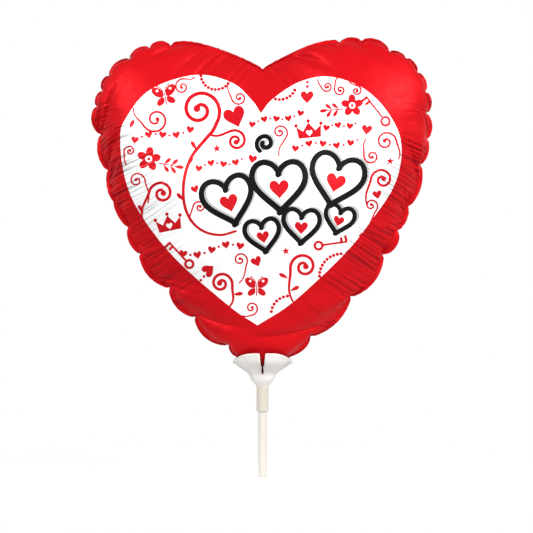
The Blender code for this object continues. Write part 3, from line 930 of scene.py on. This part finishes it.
def foil_inks():
    # Each ink's second colour is painted into the gathers' valleys. It is painted shade, darker than the ink,
    # except on the black ink, where it is a slightly lighter painted sheen.
    red = foil_material("red_metallised_film", (0.515, 0.0046, 0.0082), (0.30, 0.003, 0.0078),
                        0.22, 0.44, 0.05)
    white = foil_material("pearl_white_ink", (0.93, 0.93, 0.935), (0.46, 0.46, 0.48), 0.18, 0.36)
    red_ink = foil_material("red_ink", (0.58, 0.0080, 0.0145), (0.40, 0.006, 0.012), 0.3, 0.36, 0.12)
    black = foil_material("black_ink", (0.0055, 0.0050, 0.0055), (0.012, 0.012, 0.013), 0.1, 0.42, 0.08)
    grey = foil_material("grey_ink", (0.42, 0.42, 0.43), (0.3, 0.3, 0.31), 0.15, 0.38)
    return [red, white, red_ink, black, grey]


def plastic_material(name, colour, edge_shade_colour, transmission, streak, socket_colour=None):
    """Translucent moulded or extruded plastic: faint flow lines, and painted shade where it's seen edge-on.
    The socket takes the colour of the stick that shows through it."""
    n = Nodes(bpy.data.materials.new(name))
    place = n.place()
    lines = n.noise(n.stretched(place, (1.0, 1.0, streak)), 420.0, 0.0)
    clouds = n.noise(n.stretched(place, (1.0, 1.0, 3.0 * streak)), 150.0, 1.0)
    # Painted shade: the colour turns darker where the surface is seen edge-on. The clouds are the plastic's
    # own tone, varying at random.
    edge_on_shade = n.ramp(n.add("ShaderNodeLayerWeight", {"Blend": 0.45})["Facing"], 0.12, 0.9, 0.0, 0.9)
    share = n.maths("ADD", n.ramp(clouds, 0.3, 0.7, 0.0, 0.3), edge_on_shade, clamp=True)
    base = n.mix(share, (*colour, 1), (*edge_shade_colour, 1))
    if socket_colour:
        height = n.add("ShaderNodeSeparateXYZ", {0: place})["Z"]
        in_socket = n.ramp(height, (WAIST_HEIGHT - 1.5) * MM, (WAIST_HEIGHT + 1.5) * MM, 0.7, 0.0)
        base = n.mix(in_socket, base, (*socket_colour, 1))
    n.feed(n.shader, {
        "Base Color": base, "Roughness": n.ramp(clouds, 0.35, 0.75, 0.31, 0.37),
        "Normal": n.bump(lines, 0.00004), "IOR": 1.49, "Coat Weight": 0.7, "Coat Roughness": 0.12,
        "Transmission Weight": transmission,
    })
    return n.owner


def film_material():
    n = Nodes(bpy.data.materials.new("clear_valve_film"))
    crinkle = n.noise(n.place(), 400.0, 3.0, 0.55)
    n.feed(n.shader, {
        "Base Color": (0.86, 0.88, 0.9, 1), "Transmission Weight": 0.8,
        "Roughness": n.ramp(crinkle, 0.3, 0.7, 0.12, 0.25), "Normal": n.bump(crinkle, 0.0001),
    })
    return n.owner


# ---------------------------------------------------------------- cup, stick and tail

# Sizes in mm, as on the CAD parts where they have the same feature.
STICK_RADIUS = 2.5
STICK_WALL = 0.45
STICK_LENGTH = 51.6
STICK_EDGE = (0.08, 0.12)  # how far in and how far up the stick's edges are broken
FIT_GAP = 0.3
SOCKET_RADIUS = 3.5
SOCKET_BOTTOM = 38.0
WAIST_HEIGHT = 52.8
STOP_HEIGHT = 51.9
BOWL_FLOOR = 53.7
CUP_WALL = 0.8
RIM_FRONT_HEIGHT = 72.4
RIM_FALL = 5.1
RIM_STEPS = 40
BELL_SIDE_RADIUS = 17.3
RIM_SIDE_HEIGHT = 67.3
RIM_POWER = 4
SLIT_CENTRE = 60.0
SLIT_BOTTOM_HALF = 0.5
SLIT_TOP_HALF = 1.65
FRONT_CORNER_ROUND = 0.8
SIDE_CORNER_ROUND = 3.4
LIP_BEAD = 1.3  # how much thicker the rim is outside, at the sides
LIP_REACH = 1.5
CUP_STEP = 0.55
CUP_SIDES = 72
TAIL_LEVEL = 61.6
TAIL_REACH = 11.6
TAIL_END_HEIGHT = 39.5
TAIL_SPREADING = 20.0  # the length over which the tail spreads towards its end
TAIL_PLEATS = 10


def bell_side():
    """(radius, height) up the bell's outside, and each place's arc length and outward normal."""
    waist = bezier((SOCKET_RADIUS, WAIST_HEIGHT), (4.2, 54.0), (6.6, 55.6), (7.4, 58.6), 24)
    flare = bezier((7.4, 58.6), (8.4, 61.8), (13.8, 63.2), (BELL_SIDE_RADIUS, RIM_SIDE_HEIGHT), 30)
    tip = bezier(flare[-1], (18.3, 68.5), (19.0, 71.0), (BELL_SIDE_RADIUS + 2.1, RIM_FRONT_HEIGHT + 1.5), 10)
    line = np.vstack([waist, flare[1:], tip[1:]])
    return line, arc_lengths(line), -left_of(unit(np.gradient(line, axis=0)))


def rim_height(radius, angle):
    return RIM_FRONT_HEIGHT - RIM_FALL * (radius * np.cos(angle) / BELL_SIDE_RADIUS) ** RIM_POWER


def slit_half(height):
    widening = (SLIT_TOP_HALF - SLIT_BOTTOM_HALF) / (RIM_FRONT_HEIGHT - SLIT_CENTRE)
    return SLIT_BOTTOM_HALF + widening * (height - SLIT_CENTRE)


def laid(angles, lengths):
    """Places on the bell laid flat, from angles in radians and lengths up its side."""
    return (lengths + SOCKET_RADIUS)[:, None] * np.stack([np.cos(angles), np.sin(angles)], axis=1)


def slit_points(side, sign, centre):
    """One edge of the slit at this angle, from its bottom to the rim."""
    line, lengths, _ = side
    radius, height = line.T
    angles = centre + sign * np.arcsin(np.minimum(0.9, np.maximum(0.01, slit_half(height)) / radius))
    kept = (SLIT_CENTRE <= height) & (height <= rim_height(radius, angles))
    return laid(angles[kept], lengths[kept])


def slit_bottom(side, centre):
    """The round bottom of the slit at this angle."""
    line, lengths, _ = side
    turn = math.pi * (1 + np.arange(1, 8) / 8)
    height = SLIT_CENTRE + SLIT_BOTTOM_HALF * np.sin(turn)
    radius, length = (np.interp(height, line[:, 1], values) for values in (line[:, 0], lengths))
    return laid(centre + SLIT_BOTTOM_HALF * np.cos(turn) / radius, length)


def cut_corner(line, corner, reach):
    """Replaces the outline within reach of its point number corner by a round."""
    lengths = arc_lengths(line)
    near, far = lengths[corner] - reach, lengths[corner] + reach
    ends = points_at(line, [near, far])
    t = np.linspace(0, 1, 7)[:, None]
    rounded = (1 - t) ** 2 * ends[0] + 2 * (1 - t) * t * line[corner] + t**2 * ends[1]
    return np.vstack([line[lengths < near], rounded, line[lengths > far]])


def petal_outline(side, quarter):
    """One petal's edge on the bell laid flat: up one slit, along the rim and down the next slit."""
    line, lengths, _ = side
    base = math.radians(90 * quarter)
    up = slit_points(side, 1, base)
    down = slit_points(side, -1, base + math.pi / 2)[::-1]
    start, end = (math.atan2(y, x) for x, y in (up[-1], down[0]))
    if end < start:
        end += math.tau
    angles = np.linspace(start, end, RIM_STEPS)[1:-1]
    reached = [np.interp(0.0, line[:, 1] - rim_height(line[:, 0], angle), lengths) for angle in angles]
    whole = np.vstack([up, laid(angles, np.array(reached)), down])
    first, last = len(up) - 1, len(up) + RIM_STEPS - 2
    rounds = (SIDE_CORNER_ROUND, FRONT_CORNER_ROUND)
    whole = cut_corner(whole, last, rounds[(quarter + 1) % 2])
    return cut_corner(whole, first, rounds[quarter % 2])


def laid_bell(side):
    """The bell laid flat and cut into triangles: its points, triangles and outer edge."""
    edge = []
    for quarter in range(4):
        next_slit = math.radians(90 * quarter) + math.pi / 2
        edge += [petal_outline(side, quarter), slit_bottom(side, next_slit)]
    edge = evenly(np.vstack(edge), 0.3, 0.15)
    circle = SOCKET_RADIUS * heading(360 * np.arange(CUP_SIDES) / CUP_SIDES)
    inwards = unit(left_of(np.roll(edge, -1, axis=0) - np.roll(edge, 1, axis=0)))
    rings = [edge + inwards * depth for depth in (0.06, 0.2, 0.42)]
    grid = grid_inside(edge, CUP_STEP, 0.75)
    grid = grid[np.linalg.norm(grid, axis=1) > SOCKET_RADIUS + CUP_STEP * 0.6]
    flat, faces, _ = triangulated([edge, circle], np.vstack([*rings, grid]), 1e-4)
    middles = flat[faces].mean(axis=1)
    return flat, faces[np.linalg.norm(middles, axis=1) > SOCKET_RADIUS * 0.999], edge


def bell_sheets(side):
    """Both faces of the bell with a rounded edge and a thicker lip towards the sides."""
    line, lengths, normals = side
    flat, faces, edge = laid_bell(side)
    angle = np.arctan2(flat[:, 1], flat[:, 0])
    reach = np.linalg.norm(flat, axis=1) - SOCKET_RADIUS
    radius, height = (np.interp(reach, lengths, line[:, k]) for k in range(2))
    out, up = (np.interp(reach, lengths, normals[:, k]) for k in range(2))
    to_edge, _ = outline_distance(flat, edge)
    on_slit = np.minimum(np.abs(np.sin(angle)), np.abs(np.cos(angle))) * radius - slit_half(height)
    off_slit = np.clip((on_slit - 0.3) / 1.5, 0, 1)
    bead = LIP_BEAD * np.exp(-((to_edge / LIP_REACH) ** 2)) * off_slit * (0.25 + 0.75 * np.cos(angle) ** 2)
    sheets = []
    for sign, bead_share in ((1, 1.0), (-1, 0.25)):
        half = CUP_WALL / 2 + bead * bead_share
        share = np.clip(to_edge / half, 0, 1)
        offset = sign * half * np.sqrt(1 - (1 - share) ** 2) - CUP_WALL / 2
        r, z = radius + out * offset, height + up * offset
        sheets.append(np.stack([r * np.cos(angle), r * np.sin(angle), z], axis=1))
    return sheets, faces


def turned_rings(profile):
    """Points and faces of a shape turned round the stick's axis, from (radius, height) points."""
    ways = heading(360 * np.arange(CUP_SIDES) / CUP_SIDES)
    rings = [np.column_stack([ways * radius, np.full(CUP_SIDES, height)]) for radius, height in profile]
    return np.vstack(rings), grid_faces(len(profile), CUP_SIDES, closed=True)


def welded(obj, gap, crease_degrees):
    """Joins an object's points that lie within a gap in mm, and keeps its sharp edges sharp."""
    bm = bmesh.new()
    bm.from_mesh(obj.data)
    bmesh.ops.remove_doubles(bm, verts=bm.verts, dist=gap * MM)
    bmesh.ops.dissolve_degenerate(bm, edges=bm.edges, dist=gap * MM)
    bmesh.ops.recalc_face_normals(bm, faces=bm.faces)
    bm.to_mesh(obj.data)
    bm.free()
    obj.data.set_sharp_from_angle(angle=math.radians(crease_degrees))


def make_cup(material):
    (outer, inner), faces = bell_sheets(bell_side())
    bore = STICK_RADIUS + FIT_GAP
    lowest = inner[np.argmin(np.linalg.norm(outer[:, :2], axis=1))]
    floor_radius = np.linalg.norm(lowest[:2])
    wall = [(SOCKET_RADIUS, WAIST_HEIGHT), (SOCKET_RADIUS, 52.0), (SOCKET_RADIUS, SOCKET_BOTTOM + 0.6),
            (SOCKET_RADIUS - 0.08, SOCKET_BOTTOM + 0.3), (SOCKET_RADIUS - 0.25, SOCKET_BOTTOM + 0.08),
            (SOCKET_RADIUS - 0.4, SOCKET_BOTTOM), (bore + 0.06, SOCKET_BOTTOM), (bore, SOCKET_BOTTOM + 0.15),
            (bore, STOP_HEIGHT - 0.3), (bore - 0.3, STOP_HEIGHT), (0.0, STOP_HEIGHT)]
    floor = [(floor_radius, lowest[2]), (floor_radius - 0.25, BOWL_FLOOR), (0.0, BOWL_FLOOR)]
    points = np.vstack([outer, inner])
    shown = [*faces, *(faces[:, ::-1] + len(outer))]
    for profile in (wall, floor):
        extra, quads = turned_rings(profile)
        shown += [tuple(i + len(points) for i in quad) for quad in quads]
        points = np.vstack([points, extra])
    cup = mesh_object("moulded_cup", points, shown, [material])
    welded(cup, 0.02, 50)
    return cup


def make_stick(material):
    bore = STICK_RADIUS - STICK_WALL
    cut, rise = STICK_EDGE
    profile = [(STICK_RADIUS, z) for z in np.linspace(STICK_LENGTH - rise, rise, 40)]
    profile += [(STICK_RADIUS - cut, 0.0), (bore + cut, 0.0), (bore, rise), (bore, STICK_LENGTH - rise),
                (bore + cut, STICK_LENGTH), (STICK_RADIUS - cut, STICK_LENGTH), profile[0]]
    stick = mesh_object("tubular_stick", *turned_rings(profile), [material])
    welded(stick, 0.002, 35)
    return stick


def tail_line():
    """The tail's middle in the YZ plane: down the neck, back through the slit and down."""
    turn = bezier((0.0, NECK_HEIGHT + 1.2), (0.0, 62.4), (0.9, TAIL_LEVEL), (2.8, TAIL_LEVEL), 12)
    over = (TAIL_REACH - 2.6, TAIL_LEVEL)
    drop = bezier(over, (over[0] + 1.5, TAIL_LEVEL), (TAIL_REACH, TAIL_LEVEL - 1.2), (TAIL_REACH, 58.6), 12)
    line = np.vstack([turn, drop, [[TAIL_REACH, TAIL_END_HEIGHT]]])
    return points_at(line, np.linspace(0, arc_lengths(line)[-1], 70))


def make_tail(material):
    """The filling neck, gathered where it passes the slit and spreading again below it."""
    line = tail_line()
    lengths = arc_lengths(line)
    forward = left_of(unit(np.gradient(line, axis=0)))
    spread = smoothstep((lengths - lengths[-1] + TAIL_SPREADING) / TAIL_SPREADING)[:, None]
    count = TAIL_PLEATS * 4 + 1
    across = np.linspace(-1, 1, count)
    zigzag = np.abs((np.arange(count) / 2) % 2 - 1) * 2 - 1
    wander = wave_noise(81, 4, 30.0, 9.0)
    x = (0.55 + 2.6 * spread) * across + 0.5 * spread * wander(lengths)[:, None]
    lift = (0.34 + 0.75 * spread) * zigzag + 0.3 * spread * wander(lengths[:, None] + 40 * across)
    y, z = (line[:, k : k + 1] + forward[:, k : k + 1] * lift for k in range(2))
    points = np.stack([x, y, z], axis=-1).reshape(-1, 3)
    return mesh_object("gathered_filling_tail", points, grid_faces(len(line), count), [material])


# ---------------------------------------------------------------- camera, floor and light

FLOOR_RADIUS = 240.0
FLOOR_SOLID = 0.03  # metres from the stick within which the floor is solid, before it fades out
FLOOR_SIDES = 96
LIGHTS_AIM = (0, 0, 0.17)
WORLD_SLOPE = (0.11, 0.0, 0.49)  # the direction along which the world's brightness changes
WORLD_GREYS = ((0.12, 0.15), (0.52, 0.92), (0.88, 0.25))  # places from below to above, and brightness


def add_area_light(name, place, target, size, power):
    light = bpy.data.lights.new(name, "AREA")
    light.shape = "DISK"
    light.size = size
    light.energy = power
    lamp = bpy.data.objects.new(name, light)
    lamp.location = place
    lamp.rotation_euler = (Vector(target) - Vector(place)).to_track_quat("-Z", "Y").to_euler()
    bpy.context.scene.collection.objects.link(lamp)


def make_floor():
    rim = [(*(heading(360 * i / FLOOR_SIDES) * FLOOR_RADIUS), 0.0) for i in range(FLOOR_SIDES)]
    floor = mesh_object("floor", rim, [tuple(range(FLOOR_SIDES))])
    n = Nodes(bpy.data.materials.new("pale_floor"))
    place = n.place()
    speckle = n.noise(place, 60.0, 3.0)
    from_stick = n.add("ShaderNodeVectorMath", {0: place}, operation="LENGTH")["Value"]
    n.feed(n.shader, {
        "Base Color": n.mix(speckle, (0.60, 0.60, 0.60, 1), (0.64, 0.64, 0.64, 1)),
        "Alpha": n.ramp(from_stick, FLOOR_SOLID, FLOOR_RADIUS * MM, 1.0, 0.0), "Roughness": 0.9,
        "Specular IOR Level": 0.1, "Emission Color": (1, 1, 1, 1), "Emission Strength": 0.42,
    })
    floor.data.materials.append(n.owner)


def make_world():
    """White where the camera looks past the object. The light comes most from the horizon's height."""
    world = bpy.data.worlds.new("white_studio")
    bpy.context.scene.world = world
    n = Nodes(world, "Background")
    around = n.add("ShaderNodeTexCoord", {})["Generated"]
    tilted = n.add("ShaderNodeVectorMath", {0: around, 1: WORLD_SLOPE}, operation="DOT_PRODUCT")["Value"]
    shade = n.add("ShaderNodeValToRGB", {0: n.maths("ADD", tilted, 0.5)})["Color"]
    elements = shade.node.color_ramp.elements
    elements.new(WORLD_GREYS[1][0])
    for element, (place, grey) in zip(elements, WORLD_GREYS):
        element.position = place
        element.color = (grey, grey, grey, 1.0)
    n.feed(n.shader, {"Color": (1.0, 1.0, 1.0, 1.0), "Strength": shade})
    seen = n.add("ShaderNodeBackground", {"Color": (1.0, 1.0, 1.0, 1.0)})[0]
    rays = n.add("ShaderNodeLightPath", {})["Is Camera Ray"]
    either = n.add("ShaderNodeMixShader", {0: rays, 1: n.shader.outputs[0], 2: seen})[0]
    n.feed(n.tree.nodes["World Output"], {"Surface": either})


def make_camera():
    camera = bpy.data.cameras.new("camera")
    viewer = bpy.data.objects.new("camera", camera)
    bpy.context.scene.collection.objects.link(viewer)
    camera.sensor_width = 36.0
    camera.lens = camera.sensor_width * VIEWER_DISTANCE / VIEW_WIDTH
    viewer.location = Vector((VIEWER[0], -VIEWER_DISTANCE, VIEWER[1])) * MM
    viewer.rotation_euler = (math.radians(90), 0.0, 0.0)
    bpy.context.scene.camera = viewer


def make_stage():
    bpy.context.scene.view_settings.view_transform = "Standard"
    make_camera()
    make_world()
    make_floor()
    add_area_light("key", (1.2, -0.95, 0.85), LIGHTS_AIM, 0.8, 36.0)
    add_area_light("fill", (-1.2, -0.95, 0.8), LIGHTS_AIM, 0.9, 24.0)


# ---------------------------------------------------------------- the whole


def main():
    front_panel, rear_panel = make_panels()
    inks = foil_inks()
    shapes = make_print()
    for panel, name, node in ((front_panel, "front_foil_panel", "front_foil"),
                              (rear_panel, "rear_foil_panel", "rear_foil")):
        skin = make_skin(panel, shapes, name, inks)
        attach(skin, "balloon")
        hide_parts(node)
    tail = make_tail(inks[0])
    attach(tail, "balloon")
    count = len(tail.data.vertices)
    add_seam_map(tail, np.zeros(count), np.full(count, OFF_SEAM))

    # The plastic's second colour is painted shade where it's seen edge-on.
    milky = plastic_material("milky_cup_plastic", (0.77, 0.75, 0.72), (0.54, 0.52, 0.48), 0.2, 0.15,
                             (0.48, 0.43, 0.33))
    cup = make_cup(milky)
    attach(cup, "cup")
    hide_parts("cup")
    # The second colour is painted shade where the stick is seen edge-on.
    ivory = plastic_material("ivory_stick_plastic", (0.62, 0.59, 0.55), (0.45, 0.40, 0.33), 0.12, 0.01)
    stick = make_stick(ivory)
    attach(stick, "stick")
    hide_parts("stick")

    film = film_material()
    for node in ("front_valve_film", "rear_valve_film"):
        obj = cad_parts[node]
        obj.data.materials.clear()
        obj.data.materials.append(film)

    make_stage()


main()
